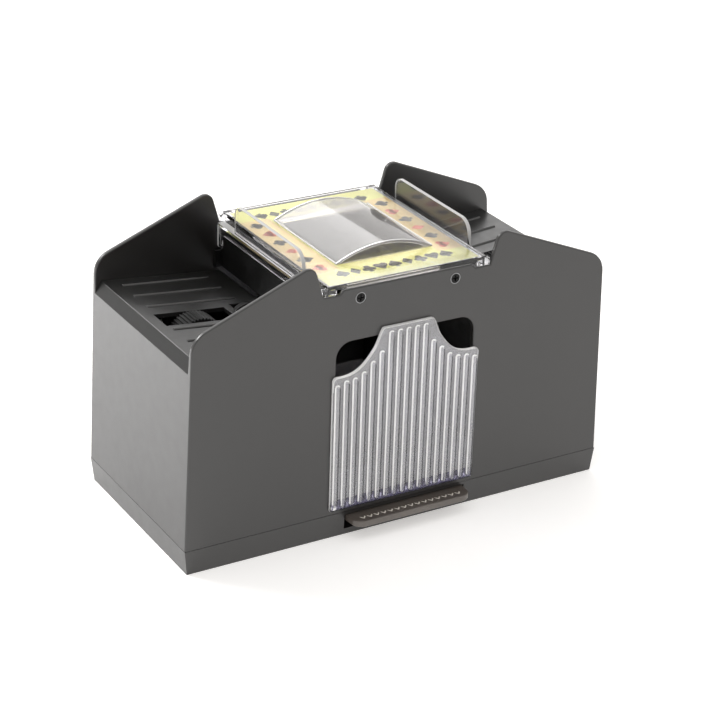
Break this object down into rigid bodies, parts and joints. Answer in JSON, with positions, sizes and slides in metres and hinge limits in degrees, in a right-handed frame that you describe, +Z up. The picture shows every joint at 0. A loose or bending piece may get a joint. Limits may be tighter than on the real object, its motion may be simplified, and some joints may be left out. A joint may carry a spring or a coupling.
{
  "type": "card shuffler",
  "caption": "Battery card shuffler: two sloping card trays with rubber feed wheels, a clear lifting cover, a central pull-out card drawer and a press bar in front.",
  "frame": {"origin": "centre of the base footprint on the table", "axes": "+X along the long side, towards the right tray; -Y towards the drawer front and press bar; +Z up"},
  "size_m": [0.2176, 0.109, 0.1338],
  "materials": {
    "case_plastic": "satin moulded",
    "tray_plastic": "satin moulded",
    "black_plastic": "matte moulded",
    "press_bar": "satin moulded",
    "clear_plastic": "clear polished",
    "window_plastic": "smoked clear polished",
    "label_paper": "printed",
    "steel": "plain",
    "black_screw": "black zinc",
    "nylon": "natural",
    "brass": "turned",
    "rubber": "moulded",
    "cell_sleeve": "shrunk sleeve",
    "wire": "extruded"
  },
  "bodies": {
    "case": {"housing": "case_plastic", "base_shell": "case_plastic", "left_tray": "tray_plastic", "right_tray": "tray_plastic", "gate_frame": "black_plastic", "card_chute": "black_plastic", "pivot_pin": "steel", "bar_springs": "steel", "push_switch": "black_plastic", "left_front_bracket": "black_plastic", "right_front_bracket": "black_plastic", "left_rear_bracket": "black_plastic", "right_rear_bracket": "black_plastic", "left_bushes": "brass", "right_bushes": "brass", "left_motor_can": "steel", "right_motor_can": "steel", "left_motor_cap": "nylon", "right_motor_cap": "nylon", "left_gear_pin": "steel", "right_gear_pin": "steel", "left_cells": "cell_sleeve", "right_cells": "cell_sleeve", "left_contacts": "steel", "right_contacts": "steel", "left_battery_door": "case_plastic", "right_battery_door": "case_plastic", "motor_screws": "steel", "case_screws": "black_screw", "base_screws": "steel", "door_screws": "steel", "wiring": "wire"},
    "drawer": {"card_drawer": "clear_plastic"},
    "cover": {"clear_cover": "clear_plastic", "window_dome": "window_plastic", "label_card": "label_paper"},
    "press_bar": {"press_bar": "press_bar"},
    "plunger": {"switch_plunger": "nylon"},
    "left_feed": {"left_feed_shaft": "steel", "left_feed_gear": "nylon", "left_wheel_hub": "nylon", "left_feed_tyre": "rubber"},
    "left_exit": {"left_exit_shaft": "steel", "left_exit_gear": "nylon", "left_exit_roller": "rubber"},
    "left_idler": {"left_compound_gear": "nylon"},
    "left_rotor": {"left_motor_shaft": "steel", "left_pinion": "brass"},
    "right_feed": {"right_feed_shaft": "steel", "right_feed_gear": "nylon", "right_wheel_hub": "nylon", "right_feed_tyre": "rubber"},
    "right_exit": {"right_exit_shaft": "steel", "right_exit_gear": "nylon", "right_exit_roller": "rubber"},
    "right_idler": {"right_compound_gear": "nylon"},
    "right_rotor": {"right_motor_shaft": "steel", "right_pinion": "brass"}
  },
  "joints": [
    {"name": "drawer_slide", "type": "slide", "parent": "case", "child": "drawer", "axis": [0, -1, 0], "range_m": [0, 0.075]},
    {"name": "cover_lift", "type": "slide", "parent": "case", "child": "cover", "axis": [0, 0, 1], "range_m": [0, 0.045]},
    {"name": "press_bar_tilt", "type": "hinge", "parent": "case", "child": "press_bar", "pos_m": [0, -0.022, 0.0085], "axis": [1, 0, 0], "range_deg": [0, 5], "stiffness_Nm_per_rad": 0.5, "springref_deg": -5.73, "deforming": ["bar_springs"]},
    {"name": "plunger_travel", "type": "slide", "parent": "case", "child": "plunger", "axis": [0, 0, -1], "range_m": [0, 0.0009]},
    {"name": "left_feed_spin", "type": "hinge", "parent": "case", "child": "left_feed", "pos_m": [-0.08, 0, 0.08731], "axis": [0, 1, 0], "continuous": true},
    {"name": "left_exit_spin", "type": "hinge", "parent": "case", "child": "left_exit", "pos_m": [-0.0515, 0, 0.08897], "axis": [0, 1, 0], "continuous": true},
    {"name": "left_idler_spin", "type": "hinge", "parent": "case", "child": "left_idler", "pos_m": [-0.06301, 0, 0.08136], "axis": [0, 1, 0], "continuous": true},
    {"name": "left_rotor_spin", "type": "hinge", "parent": "case", "child": "left_rotor", "pos_m": [-0.06301, 0, 0.06636], "axis": [0, 1, 0], "continuous": true},
    {"name": "right_feed_spin", "type": "hinge", "parent": "case", "child": "right_feed", "pos_m": [0.08, 0, 0.08731], "axis": [0, 1, 0], "continuous": true},
    {"name": "right_exit_spin", "type": "hinge", "parent": "case", "child": "right_exit", "pos_m": [0.0515, 0, 0.08897], "axis": [0, 1, 0], "continuous": true},
    {"name": "right_idler_spin", "type": "hinge", "parent": "case", "child": "right_idler", "pos_m": [0.06301, 0, 0.08136], "axis": [0, 1, 0], "continuous": true},
    {"name": "right_rotor_spin", "type": "hinge", "parent": "case", "child": "right_rotor", "pos_m": [0.06301, 0, 0.06636], "axis": [0, 1, 0], "continuous": true}
  ],
  "couplings": [
    {"joint": "plunger_travel", "follows": "press_bar_tilt", "m_per_rad": 0.0085},
    {"joint": "left_idler_spin", "follows": "left_feed_spin", "ratio": -0.875},
    {"joint": "left_exit_spin", "follows": "left_feed_spin", "ratio": 2},
    {"joint": "left_rotor_spin", "follows": "left_feed_spin", "ratio": 4.375},
    {"joint": "right_idler_spin", "follows": "right_feed_spin", "ratio": -0.875},
    {"joint": "right_exit_spin", "follows": "right_feed_spin", "ratio": 2},
    {"joint": "right_rotor_spin", "follows": "right_feed_spin", "ratio": 4.375}
  ]
}
